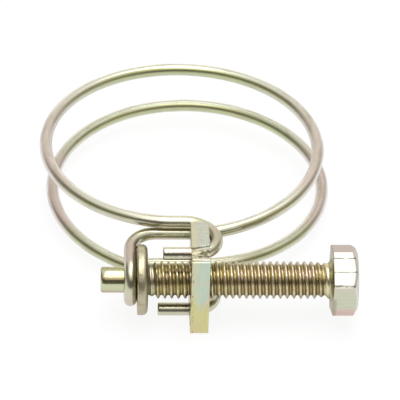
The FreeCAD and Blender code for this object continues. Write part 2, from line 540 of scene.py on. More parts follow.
def wirePlating(s):
    material, t, place, tint, fine, speck = startPlating("wirePlating", s)
    x, y, z = t.split(place)
    faceX, faceY, faceZ = t.facing()
    side = x.maths("ABSOLUTE")
    patches = t.noise(place, 0.16, 2.0, 0.5)

    # The rings: pink flanks, green at the back and where the lower one passes behind the screw; a paler tint
    # painted as highlight on their upper faces, an olive band painted where their reflection turns dark, and
    # a light rim painted where they turn away
    flank = t.zone(s["flank"], side + patches * 6.0, y, y)
    colour = t.mix(flank * t.smooth(z, 1.0, -1.0, 0.75, 0.9), tint, s["pink"])
    passing = t.zone(s["passing"], side, y, z)
    colour = t.mix(passing * 0.6, colour, s["green"])
    behind = t.smooth(y + patches * 8.0 - z * 0.7, *s["behind"])
    colour = t.mix(behind * 0.8, colour, s["green"])
    under = t.smooth(faceZ, 0.1, -0.6)
    colour = t.mix(under * 0.55 * (1 - behind * 0.7), colour, s["underside"])
    ring = t.smooth(y, *s["ring"])
    # Painted highlight: faces turned up get a paler, whiter tint
    pale = t.smooth(faceZ, 0.5, 0.85) * ring * (1 - flank) * (behind * 0.15 + 0.5)
    colour = t.mix(pale, colour, s["pale"])
    # Painted reflection: an olive band where the rings' reflection turns dark
    oliveReflectionBand = t.band(faceZ, 0.62, 0.28) * t.smooth(faceY, -0.3, -0.6) * ring
    drift = driftOf(t, place, s)
    colour = t.mix(oliveReflectionBand * t.smooth(drift, 0.3, 0.6, 0.45, 0.8), colour, s["olive"])
    # Painted highlight: the rings turn light towards their outline
    paintedRimLight = t.node("ShaderNodeLayerWeight", None, {"Blend": 0.5}, output="Facing")
    colour = t.mix(t.smooth(paintedRimLight, 0.3, 0.7) * ring * 0.6, colour, s["edge"])

    # Lines and blotches that follow the wire
    along = t.node("ShaderNodeAttribute", {"attribute_name": "alongWire"}, output="Fac")
    around = t.node("ShaderNodeAttribute", {"attribute_name": "aroundWire"}, output="Fac")
    lines = t.noise(t.join(along * 0.25, around * 34.0, 0.0), 1.0, 3.0, 0.6)
    colour = t.mix(t.smooth(lines, 0.45, 0.68) * (ring * 0.1 + 0.16), colour, s["streak"])
    blotches = t.noise(t.join(along * 0.16, around * 3.0, 4.0), 1.0, 3.0, 0.6)
    colour = t.mix(t.smooth(blotches, 0.50, 0.66) * ring * 0.4, colour, s["streak"])

    # The eye: pink round the pilot, darker towards the washer, and a bright band on its upper run
    eye = t.zone(s["eye"], x, y)
    turned = t.smooth(y, *s["eyeTurn"]) * 0.7 + t.smooth(z, 0.8, -0.8) * t.smooth(y, *s["eyeFront"]) * 0.4
    colour = t.mix(eye * turned, colour, s["pink"])
    shaded = eye * t.smooth(faceX, 0.0, 0.4) * t.smooth(faceZ, -0.1, 0.2)
    colour = t.mix(shaded * t.smooth(z, 1.2, -0.4, 0.25, 0.75), colour, s["shade"])
    eyeRun = t.band(faceZ, 0.42, 0.22) * t.zone(s["eyeRun"], x, y, z, z)
    colour = t.mix(eyeRun * 0.8, colour, s["glint"])

    # The stubs: ragged dark bands painted where their reflection turns dark, two on the upper one and one on
    # the lower one
    stub = t.zone(s["stub"], x, y, z.maths("ABSOLUTE"))
    ragged = t.noise(t.join(x * 1.6, y * 2.0, z * 2.0), 1.5, 3.0, 0.7) - 0.5
    upperBand = t.band(faceZ + ragged * 1.1, 0.47, 0.31) * t.smooth(z, -0.5, 0.5)
    upperLine = t.band(faceZ + ragged * 0.3, -0.36, 0.15) * t.smooth(z, -0.5, 0.5)
    lowerLine = t.band(faceZ + ragged * 0.3, 0.30, 0.14) * t.smooth(z, 0.5, -0.5)
    # Painted reflection: dark bands placed by which way each face turns
    stubReflectionShade = (upperBand * 0.7 + upperLine + lowerLine) * stub * t.smooth(faceY, -0.1, -0.35)
    colour = t.mix(stubReflectionShade * 0.75, colour, s["stubReflectionShade"])

    # The bruise that the hammering left on the upper hook
    apart = distance(x - s["bruise"][0], y - s["bruise"][1])
    hit = t.smooth(apart, *s["bruiseReach"]) * t.smooth(z, *s["bruiseHeight"])
    marks = hit * t.smooth(t.noise(t.join(x * 2.6, y * 1.1, z), 1.6, 2.0, 0.6), 0.50, 0.60)
    colour = t.mix(marks * 0.7, colour, s["bruised"])

    roughness = s["roughness"] + s["grain"] * (fine - 0.4) + s["drawn"] * lines + ring * s["ringRoughness"]
    height = lines * 0.5 + fine * 0.4 + speck * 0.3 - marks * 2.0
    finishPlating(t, s, colour, roughness, height, s["undersideShadeShare"])
    return material


def ringHeight(s, turned):
    quarter = int(turned // 90)
    share = turned / 90 - quarter
    return s["ringHeights"][quarter] * (1 - share) + s["ringHeights"][quarter + 1] * share


# Stub, hook, ring and half of the eye, as corners with the reach of each corner's arc
def halfRoute(s, stubEnd, shift):
    hookHeight = s["ringHeights"][0]
    eyeHeight = s["ringHeights"][-1]
    runY = s["runY"]
    corner = s["frontCorner"]
    stubY = runY - sum(s["hookBends"])
    lean = math.acos((-runY - corner) / (s["ringRadius"] - corner))
    reach = corner * math.tan(lean / 2)
    frontX = (s["ringRadius"] - corner) * math.sin(lean) + reach
    step = (2 * math.pi - 2 * lean) / s["ringArcs"]
    outer = s["ringRadius"] / math.cos(step / 2)
    stubHeight = hookHeight + s["stubRise"]
    stubCorner = Vector((s["hookX"], stubY, stubHeight))
    runCorner = Vector((s["hookX"], runY, hookHeight))
    approach = (runCorner - stubCorner).length - s["hookBends"][0]
    route = [
        (Vector((stubEnd, stubY, stubHeight)), 0),
        (stubCorner, s["hookBends"][0]),
        (runCorner, approach),
    ]
    points = [Vector((shift - frontX, runY, hookHeight))]
    for number in range(s["ringArcs"]):
        turned = lean + (number + 0.5) * step
        height = ringHeight(s, math.degrees(turned))
        points.append(Vector((shift - outer * math.sin(turned), -outer * math.cos(turned), height)))
    points.append(Vector((shift + frontX, runY, eyeHeight)))
    route.append((points[0], reach))
    for last, point in zip(points, points[1:]):
        reach = (point - last).length - reach
        route.append((point, reach))
    route.append((Vector((s["eyeX"], runY, eyeHeight)), s["eyeBend"]))
    route.append((Vector((s["eyeX"], s["screwY"] - eyeHeight, eyeHeight)), eyeHeight))
    return route


def addRun(points, end, step):
    start = points[-1]
    count = max(1, round((end - start).length / step))
    for number in range(1, count + 1):
        points.append(start.lerp(end, number / count))


def addArc(points, corner, towards, away, reach, step):
    angle = towards.angle(away)
    radius = reach / math.tan(angle / 2)
    inward = (away - towards).normalized()
    centre = corner + inward * (radius / math.cos(angle / 2))
    start = corner - towards * reach - centre
    axis = towards.cross(away).normalized()
    count = max(3, round(radius * angle / step))
    for number in range(1, count + 1):
        turned = start.copy()
        turned.rotate(Quaternion(axis, angle * number / count))
        points.append(centre + turned)


def routePoints(route, step, shortestRun=1e-4):
    points = [route[0][0]]
    for number in range(1, len(route) - 1):
        corner, reach = route[number]
        towards = (corner - route[number - 1][0]).normalized()
        away = (route[number + 1][0] - corner).normalized()
        arcStart = corner - towards * reach
        if (arcStart - points[-1]).length > shortestRun:
            addRun(points, arcStart, step)
        addArc(points, corner, towards, away, reach, step)
    addRun(points, route[-1][0], step)
    return points


# A round tube along the route, with rounded ends and with its length and turn kept for the film
def tubeTree():
    fields = [("Radius", "NodeSocketFloat"), ("Sides", "NodeSocketInt"), ("End rounding", "NodeSocketFloat"),
              ("Material", "NodeSocketMaterial")]
    group, t, given = geometryTree("bentWire", fields)
    stored = {"data_type": "FLOAT", "domain": "POINT"}
    length = t.node("GeometryNodeSplineLength", output="Length")
    along = t.node("GeometryNodeSplineParameter", output="Length")
    toEnd = along.maths("MINIMUM", length - along)
    inward = (1 - toEnd / given["End rounding"]).maths("MAXIMUM", 0.0)
    lost = given["End rounding"] * (1 - (1 - inward * inward) ** 0.5)
    share = (given["Radius"] - lost) / given["Radius"]
    marked = t.node("GeometryNodeStoreNamedAttribute", stored, {
        "Geometry": given["Geometry"], "Name": "alongWire", "Value": along * mmPerMetre})
    sized = t.node("GeometryNodeSetCurveRadius", None, {"Curve": marked, "Radius": share})
    circle = t.node("GeometryNodeCurvePrimitiveCircle", {"mode": "RADIUS"}, {
        "Resolution": given["Sides"], "Radius": given["Radius"]})
    turn = t.node("GeometryNodeSplineParameter", output="Factor")
    profile = t.node("GeometryNodeStoreNamedAttribute", stored, {
        "Geometry": circle, "Name": "aroundWire", "Value": (turn - 0.5).maths("ABSOLUTE")})
    inputs = {"Curve": sized, "Profile Curve": profile, "Fill Caps": True}
    tube = t.node("GeometryNodeCurveToMesh", None, inputs)
    scaleInput = tube.socket.node.inputs.get("Scale")
    if scaleInput:
        t.plug(scaleInput, t.node("GeometryNodeInputRadius"))
    closeTree(t, tube, given["Material"])
    return group


def makeHoseWire(s):
    upper = halfRoute(s, s["stubEnds"][0], -s["ringShift"])
    lower = halfRoute(s, s["stubEnds"][1], s["ringShift"])
    flipped = [(Vector((point.x, point.y, -point.z)), reach) for point, reach in lower][::-1]
    points = routePoints(upper + flipped, s["step"])

    # Points close together at both ends, for their rounding
    fineStart = [points[0].lerp(points[1], share) for share in (0.08, 0.2, 0.4)]
    fineEnd = [points[-1].lerp(points[-2], share) for share in (0.4, 0.2, 0.08)]
    points = points[:1] + fineStart + points[1:-1] + fineEnd + points[-1:]

    curve = bpy.data.curves.new("wireRoute", "CURVE")
    curve.dimensions = "3D"
    curve.twist_mode = "MINIMUM"
    spline = curve.splines.new("POLY")
    spline.points.add(len(points) - 1)
    for spot, point in zip(spline.points, points):
        spot.co = (*(point * mm), 1)
    values = {
        "Radius": s["radius"] * mm,
        "Sides": s["sides"],
        "End rounding": s["endRounding"] * mm,
        "Material": wirePlating(s["film"]),
    }
    piece = runTree(addObject("wireRoute", curve), "bentHoseWire", tubeTree(), values)
    smoothShade(piece)
    placePiece(piece, "clamp", "hose_wire")
    return piece


# The screw: turned pilot, rolled thread, hexagon head
screwSettings = {
    "axisY": -29.55,
    "tipX": -13.76,
    "startX": -6.46,
    "endX": 22.04,
    "headX": 25.94,
    "pitch": 1.055,
    "crestRadius": 2.9,
    "rootRadius": 2.36,
    "crestX": -4.86,
    "crestTurn": -127.7,
    "crestFlat": 0.14,
    "rootFlat": 0.2,
    "pilotRadius": 2.0,
    "pilotBevel": 0.25,
    "leadLength": 1.4,
    "leadDepth": 0.57,
    "neckRadius": 2.675,
    "neckLength": 1.6,
    "neckFillet": 1.1,
    "fadeLength": 1.1,
    "acrossFlats": 10.0,
    "headTurn": -3.5,
    "faceShare": 0.94,
    "bevelAngle": 30.0,
    "headRounding": 0.12,
    "sides": 96,
    "ringsPerTurn": 14,
    "film": {
        "tints": [(0.30, (0.56, 0.61, 0.46)), (0.50, (0.64, 0.63, 0.54)), (0.72, (0.66, 0.57, 0.52))],
        "patch": 0.16,
        "roughness": 0.17,
        "threadRoughness": 0.12,
        "grain": 0.12,
        "bump": 0.010,
        "undersideShadeShare": 0.16,
        "threadUndersideShade": 0.5,
        "edgeTint": (0.74, 0.72, 0.64, 1),
        "pilot": (0.56, 0.60, 0.35, 1),
        "pilotShadeBand": (0.49, 0.40, 0.22, 1),
        "pilotPink": (0.62, 0.49, 0.44, 1),
        "brass": (0.58, 0.50, 0.28, 1),
        "straw": (0.88, 0.83, 0.60, 1),
        "rootShade": (0.33, 0.25, 0.11, 1),
        "crest": (0.64, 0.58, 0.49, 1),
        "neck": (0.86, 0.79, 0.53, 1),
        "filletShade": (0.42, 0.41, 0.25, 1),
        "rose": (0.65, 0.52, 0.53, 1),
        "lime": (0.76, 0.74, 0.30, 1),
        "copper": (0.66, 0.47, 0.43, 1),
        "green": (0.58, 0.60, 0.45, 1),
        "headUndersideShade": (0.27, 0.235, 0.155, 1),
        "upperFlatsShade": (0.38, 0.375, 0.325, 1),
        "bevel": (0.95, 0.89, 0.92, 1),
        "scratch": (0.09, 0.09, 0.07, 1),
        "limy": ((9.0, 2.0), (2.3, 2.6)),
        "scratchPlaces": ((0.85, 0.036), (0.44, 0.034)),  # across a flat, from 0 to 1, and width
        "cornerPlace": (0.04, 0.06),  # the same for the worn corner
    },
}


def screwPlating(sizes):
    s = sizes["film"]
    material, t, place, tint, fine, speck = startPlating("screwPlating", s)
    x, y, z = t.split(place)
    faceX, faceY, faceZ = t.facing()
    startX = sizes["startX"]
    endX = sizes["endX"]
    away = y - sizes["axisY"]
    radius = distance(away, z)
    onHead = t.smooth(x, endX - 0.15, endX + 0.1)
    onNeck = t.smooth(x, endX - 1.7, endX - 0.8)
    onFillet = t.smooth(x, endX - 0.8, endX - 0.35)
    onPilot = t.smooth(x, startX - 0.05, startX + 0.05, 1.0, 0.0)

    # The thread: brass and straw, with painted shade towards its roots, greyer on its crests
    rootShade = t.smooth(radius, sizes["rootRadius"], sizes["crestRadius"] - 0.05, 1.0, 0.0)
    crest = t.smooth(radius, sizes["crestRadius"] - 0.16, sizes["crestRadius"] - 0.03)
    gold = t.mix(t.smooth(fine, 0.35, 0.65), s["brass"], s["straw"])
    gold = t.mix(rootShade * 0.85, t.mix(crest * 0.6, gold, s["crest"]), s["rootShade"])
    paler = t.smooth(x, startX + 0.3, startX + 2.2, 1.0, 0.0)
    gold = t.mix(paler * 0.6, gold, tint)
    gold = t.mix(onNeck * 0.7, gold, s["neck"])
    # Painted shade in the corner where the neck meets the head
    gold = t.mix(onFillet * 0.8, gold, s["filletShade"])
    rosy = t.smooth(t.noise(place, 0.7, 3.0), 0.50, 0.66) * t.smooth(z, 0.8, 2.0)
    gold = t.mix(rosy * 0.45, gold, s["rose"])
    limy = t.smooth(t.noise(place, 0.55, 2.0), 0.44, 0.58) * t.zone(s["limy"], x, radius)
    gold = t.mix(limy * 0.4, gold, s["lime"])

    # The pilot: green, with a ragged brown band of painted shade in front, where its reflection turns dark,
    # and pink below
    pilot = t.mix(0.7, tint, s["pilot"])
    ragged = z + (t.noise(t.join(x * 1.2, y * 2.0, z), 1.2, 4.0, 0.7) - 0.5) * 2.2
    # Painted shade: a ragged brown band where the pilot's reflection turns dark
    brown = t.smooth(ragged, 2.1, 1.6) * t.smooth(z, 0.85, 1.15)
    pilot = t.mix(brown * 0.8, pilot, s["pilotShadeBand"])
    pilot = t.mix(t.smooth(ragged + x * 0.15, -1.9, -2.9) * 0.8, pilot, s["pilotPink"])
    colour = t.mix(onPilot, gold, pilot)

    # The head: greenish in front, rose above and behind, copper below, with painted shade on its inner face
    # and its low rim
    film = t.mix(t.smooth(away, -2.2, -2.6) * t.smooth(z + fine, 3.0, 2.4) * 0.8, tint, s["green"])
    film = t.mix(t.smooth(away, -0.9, -0.1) * 0.85, film, s["rose"])
    film = t.mix(t.smooth(z + fine * 1.4, -0.7, -1.7) * 0.85, film, s["copper"])
    film = t.mix(t.smooth(faceX, 0.9, 0.97) * 0.8, film, tint)
    colour = t.mix(onHead, colour, film)
    # Painted shade on the head's inner face and on the low part of its rim
    inner = t.smooth(faceX, -0.35, -0.9) * onHead
    colour = t.mix(inner * t.smooth(z, -0.5, 2.0, 0.85, 0.62), colour, s["headUndersideShade"])
    shadedLowRim = t.smooth(x, endX + 0.75, endX + 0.3) * t.smooth(z, 0.6, -0.4) * onHead
    colour = t.mix(shadedLowRim * 0.5, colour, s["headUndersideShade"])

    # Its flats: broken scratches along the upper front one and a worn corner, the upper flats darkened as
    # painted shade, and the bevel lightened as painted highlight
    turn = z.maths("ARCTAN2", away * -1) * (3 / math.pi) + (0.5 - sizes["headTurn"] / 60)
    across = turn - turn.maths("FLOOR")
    first, second = s["scratchPlaces"]
    marks = t.line(across, *first) + t.line(across, *second)
    broken = t.smooth(t.noise(t.join(x * 0.6, y, z), 0.9, 3.0, 0.7), 0.34, 0.46)
    fineLines = t.noise(t.join(x * 0.2, y * 4.5, z * 4.5), 1.0, 3.0, 0.6)
    flats = onHead * t.smooth(faceX, 0.5, 0.2)
    upper = flats * t.smooth(faceZ, 0.2, 0.6) * t.smooth(faceY, 0.0, -0.3)
    corner = t.line(across, *s["cornerPlace"]) * upper
    spots = t.smooth(t.noise(t.join(x * 1.3, y * 1.3, z * 1.3), 1.2, 3.0, 0.7), 0.50, 0.58)
    # Painted shade: the upper front flats are darkened
    colour = t.mix(upper * 0.68, colour, s["upperFlatsShade"])
    # Painted highlight: the head's bevel is lightened
    bevel = onHead * t.smooth(faceX, 0.2, 0.4) * t.smooth(faceX, 0.95, 0.8)
    colour = t.mix(bevel * 0.7, colour, s["bevel"])
    colour = t.mix(marks * broken * upper * 0.95, colour, s["scratch"])
    colour = t.mix(corner * (0.75 + spots * 0.25), colour, s["scratch"])
    colour = t.mix(t.smooth(fineLines, 0.54, 0.68) * flats * 0.14, colour, s["scratch"])

    threaded = (1 - onHead) * (1 - onPilot)
    roughness = s["roughness"] + s["grain"] * (fine - 0.4) + threaded * s["threadRoughness"]
    height = fine * 0.6 + speck * 0.5 - marks * broken * upper - corner * spots * 2.0
    finishPlating(t, s, colour, roughness, height, s["undersideShadeShare"] + threaded * s["threadUndersideShade"])
    return material


# The radius, and where needed the place along the screw, may be a function of the point's number
def ringOf(s, x, radius):
    points = []
    for number in range(s["sides"]):
        turn = 2 * math.pi * number / s["sides"] + math.radians(s["headTurn"])
        far = radius(number) if callable(radius) else radius
        along = x(number) if callable(x) else x
        points.append((along * mm, (s["axisY"] - far * math.cos(turn)) * mm, far * math.sin(turn) * mm))
    return points


def hexRadius(s, number, apothem):
    turn = (number * 360 / s["sides"]) % 60
    return apothem / math.cos(math.radians(min(turn, 60 - turn)))


# Rings from the pilot's end to the head's outer face; threadTree cuts the thread into them
def screwRings(s):
    pilot = s["pilotRadius"]
    crest = s["crestRadius"]
    bevel = s["pilotBevel"]
    startX = s["startX"]
    endX = s["endX"]
    rings = [ringOf(s, s["tipX"], pilot * 0.5)]
    for share in (0.0, 0.15, 0.5, 0.85, 1.0):
        rings.append(ringOf(s, s["tipX"] + bevel * share, pilot - bevel + bevel * share ** 0.7))
    for share in (0.1, 0.5, 0.9, 0.985):
        x = s["tipX"] + bevel + (startX - s["tipX"] - bevel) * share
        rings.append(ringOf(s, x, pilot))
    for radius in (pilot, pilot + 0.05, crest - s["leadDepth"] - 0.05, crest - s["leadDepth"]):
        rings.append(ringOf(s, startX, radius))
    step = s["pitch"] / s["ringsPerTurn"]
    neckStart = endX - s["neckLength"]
    count = int((endX - s["neckFillet"] - startX) / step)
    for number in range(1, count + 1):
        x = startX + number * step
        lead = max(0.0, 1 - number * step / s["leadLength"])
        fade = smoothStep(x, neckStart - s["fadeLength"], neckStart)
        rings.append(ringOf(s, x, crest - s["leadDepth"] * lead - (crest - s["neckRadius"]) * fade))
    for degrees in range(0, 91, 10):
        turn = math.radians(degrees)
        x = endX - s["neckFillet"] * (1 - math.sin(turn))
        rings.append(ringOf(s, x, s["neckRadius"] + s["neckFillet"] * (1 - math.cos(turn))))
    return rings + headRings(s)


def headRings(s):
    half = s["acrossFlats"] / 2
    soft = s["headRounding"]
    face = half * s["faceShare"]
    slope = math.tan(math.radians(s["bevelAngle"]))
    endX = s["endX"]

    def flat(number):
        return hexRadius(s, number, half)

    def outerX(number):
        return s["headX"] - (flat(number) - face) * slope

    # Inner face and its rounded rim
    rings = [ringOf(s, endX, lambda n: flat(n) * 0.85), ringOf(s, endX, lambda n: flat(n) - soft)]
    for degrees in (30, 60, 90):
        turn = math.radians(degrees)
        x = endX + soft * (1 - math.cos(turn))
        rings.append(ringOf(s, x, lambda n, turn=turn: flat(n) - soft * (1 - math.sin(turn))))
    rings.append(ringOf(s, endX + soft * 2.5, flat))

    # Outer rim, where the bevel rises towards the corners, and the round outer face
    for back, inward in ((0.5, 0.0), (soft, 0.0), (0.0, soft * 0.5), (-soft * 0.5, soft * 1.5)):
        rings.append(ringOf(s, lambda n, b=back: outerX(n) - b, lambda n, i=inward: flat(n) - i))
    for share in (0.02, 0.2):
        rings.append(ringOf(s, s["headX"] - share * soft, face - soft * (1 - share)))
    rings.append(ringOf(s, s["headX"], face - soft * 2.0))
    rings.append(ringOf(s, s["headX"], face * 0.5))
    return rings


# Pulls the blank's points towards the axis in a helical valley
def threadTree():
    names = ["Pitch", "Root radius", "Axis Y", "End", "Run out", "Crest X", "Crest turn", "Crest flat",
             "Root flat"]
    fields = [(name, "NodeSocketFloat") for name in names] + [("Material", "NodeSocketMaterial")]
    group, t, given = geometryTree("rolledThread", fields)
    x, y, z = t.split(t.node("GeometryNodeInputPosition"))
    away = y - given["Axis Y"]
    radius = distance(away, z)
    turn = z.maths("ARCTAN2", away) / (2 * math.pi)
    cycle = (x - given["Crest X"]) / given["Pitch"] - turn + given["Crest turn"]
    phase = cycle.maths("FRACT")
    valley = 1 - (phase * 2 - 1).maths("ABSOLUTE")
    cut = (valley - given["Crest flat"]) / (1 - given["Crest flat"] - given["Root flat"])
    cut = t.node("ShaderNodeClamp", None, {0: cut, 1: 0.0, 2: 1.0})
    rounded = t.smooth(cut, 0.0, 1.0) * 0.35 + cut * 0.65
    outside = t.smooth(x, given["End"] - given["Run out"], given["End"], 1.0, 0.0)
    room = radius - given["Root radius"]
    depth = room.maths("MAXIMUM", 0.0) * rounded * outside
    shift = t.join(0.0, away / radius * depth * -1, z / radius * depth * -1)
    cutShape = t.node("GeometryNodeSetPosition", None, {"Geometry": given["Geometry"], "Offset": shift})
    closeTree(t, cutShape, given["Material"])
    return group


def makeScrew(s):
    blank = loftRings("screwBlank", screwRings(s))
    values = {
        "Pitch": s["pitch"] * mm,
        "Root radius": s["rootRadius"] * mm,
        "Axis Y": s["axisY"] * mm,
        "End": (s["endX"] - 0.1) * mm,
        "Run out": s["fadeLength"] * mm,
        "Crest X": s["crestX"] * mm,
        "Crest turn": s["crestTurn"] / 360,
        "Crest flat": s["crestFlat"],
        "Root flat": s["rootFlat"],
        "Material": screwPlating(s),
    }
    piece = runTree(blank, "threadedHexScrew", threadTree(), values)
    smoothShade(piece, 40)
    placePiece(piece, "screw", "hex_screw")
    return piece


# The washer, punched from sheet: a sharp edge towards the eye and a rolled one towards the thread
washerSettings = {
    "startX": -8.11,
    "thickness": 1.6,
    "outerRadius": 5.494,
    "boreRadius": 2.1,
    "axisY": -29.55,
    "boreEdge": 0.1,
    "punchedEdge": 0.22,
    "rolledEdge": 0.8,
    "edgeSteps": 7,
    "sides": 96,
    "film": {
        "tints": [(0.30, (0.46, 0.43, 0.30)), (0.50, (0.54, 0.49, 0.35)), (0.70, (0.48, 0.45, 0.29))],
        "patch": 0.3,
        "roughness": 0.36,
        "grain": 0.18,
        "bump": 0.03,
        "undersideShadeShare": 0.16,
        "edgeTint": white,
        "worn": (0.36, 0.31, 0.17, 1),
        "threadSideShade": (0.24, 0.22, 0.13, 1),
    },
}


def washerPlating(s):
    material, t, place, tint, fine, speck = startPlating("washerPlating", s)
    worn = t.smooth(t.noise(place, 0.8, 3.0), 0.52, 0.66)
    colour = t.mix(worn * 0.55, tint, s["worn"])
    # Painted shade: the side towards the thread is darker
    colour = t.mix(t.smooth(t.facing()[0], 0.3, 0.75) * 0.6, colour, s["threadSideShade"])
    roughness = s["roughness"] + s["grain"] * (fine - 0.4)
    finishPlating(t, s, colour, roughness, fine * 0.8 + speck * 0.4 + worn * 0.5, s["undersideShadeShare"])
    return material


def makeWasher(s):
    near = s["startX"]
    far = near + s["thickness"]
    outline = roundedLoop([
        (near, s["boreRadius"], s["boreEdge"]),
        (near, s["outerRadius"], s["punchedEdge"]),
        (far, s["outerRadius"], s["rolledEdge"]),
        (far, s["boreRadius"], s["boreEdge"]),
    ], s["edgeSteps"])
    count = len(outline)
    vertices = []
    faces = []
    for side in range(s["sides"]):
        turn = 2 * math.pi * side / s["sides"]
        for x, radius in outline:
            y = s["axisY"] + radius * math.cos(turn)
            vertices.append((x * mm, y * mm, radius * math.sin(turn) * mm))
        base = side * count
        nextBase = (side + 1) % s["sides"] * count
        for number in range(count):
            following = (number + 1) % count
            faces.append((base + number, base + following, nextBase + following, nextBase + number))
    piece = meshPiece("plainWasher", vertices, faces)
    piece.data.materials.append(washerPlating(s["film"]))
    smoothShade(piece)
    placePiece(piece, "washer", "eye_washer")
    return piece


# A closed loop of points from square corners, each rounded by its own radius
def roundedLoop(corners, steps):
    points = []
    count = len(corners)
    for number, (x, y, radius) in enumerate(corners):
        here = Vector((x, y))
        before = (Vector(corners[number - 1][:2]) - here).normalized()
        after = (Vector(corners[(number + 1) % count][:2]) - here).normalized()
        centre = here + (before + after) * radius
        for step in range(steps + 1):
            turn = math.pi / 2 * step / steps
            point = centre - after * radius * math.cos(turn) - before * radius * math.sin(turn)
            points.append(tuple(point))
    return points


# The nut plate, with each hook hammered in under a staked strip
plateSettings = {
    "low": (0.09, -34.085, -7.23),
    "high": (2.99, -24.135, 7.23),
    "rounding": 0.13,
    "wobble": 0.02,
    "step": 0.1,
    "boreRadius": 3.03,
    "seatRadius": 1.04,
    "seatSides": 32,
    "seatReach": 3.0,
    "runReach": 8.0,
    "seamY": -30.3,
    "seamSlant": 0.7,
    "stakeDepth": 0.26,
    "stakeBand": 0.2,
    "creases": ((0.12, 0.30, 0.11), (0.08, 1.1, 0.09)),  # depth, distance from the seam, half width
    "dents": (  # middle, reach and turn of each three-sided chisel mark
        (1.95, -31.65, 0.85, 20),
        (2.5, -32.45, 0.8, 80),
        (2.7, -31.2, 0.55, 140),
        (1.35, -32.5, 0.5, 60),
    ),
    "dentDepth": 0.42,
    "dentsFrom": (1.0, 1.3),  # from the front
    "struckFrom": (1.2, 1.45),
    "ridgeFrom": (0.5, 0.8),
    "ridgeTo": (1.5, 1.2),
    "ridgeRise": 0.06,
    "frontRise": 0.03,
    "roughHeight": 0.03,
    "rippleHeight": 0.06,
    "rippleSpacing": 0.36,
    "rippleX": (1.7, 1.1),
    "seed": 7,
    "film": {
        "tints": [(0.30, (0.55, 0.60, 0.54)), (0.50, (0.59, 0.63, 0.56)), (0.70, (0.63, 0.63, 0.53))],
        "patch": 0.22,
        "roughness": 0.36,
        "grain": 0.22,
        "brushing": 0.12,
        "bump": 0.02,
        "undersideShadeShare": 0.16,
        "edgeTint": white,
        "bluish": (0.545, 0.65, 0.52, 1),
        "cream": (0.66, 0.63, 0.42, 1),
        "yellow": (0.66, 0.62, 0.305, 1),
        "blush": (0.74, 0.56, 0.42, 1),
        "toolMarks": (0.42, 0.42, 0.32, 1),
        "darkMarksAndShade": (0.26, 0.20, 0.12, 1),
        "struck": (0.41, 0.38, 0.26, 1),
        "rim": (0.20, 0.20, 0.14, 1),
        "pits": (0.30, 0.27, 0.18, 1),
        "front": (-33.6, -33.95),
        "borderMiddle": 1.75,
        "border": (2.2, -1.0),
        "borderBlush": (1.7, 2.5),
        "creamEdge": (2.1, 1.2),
        "deep": ((6.93, 6.66), (-30.0, -30.3), (-33.1, -32.9)),
        "struckGround": ((6.3, 6.6), (-30.2, -30.6), (-33.0, -32.8)),
        "dottedY": -33.52,
        "dottedHeight": (6.7, 6.9),
        "nicked": ((0.8, 0.4), (-33.2, -33.5)),
        "rimHeight": 7.19,
        "rimFront": (-33.9, -33.98),
    },
}


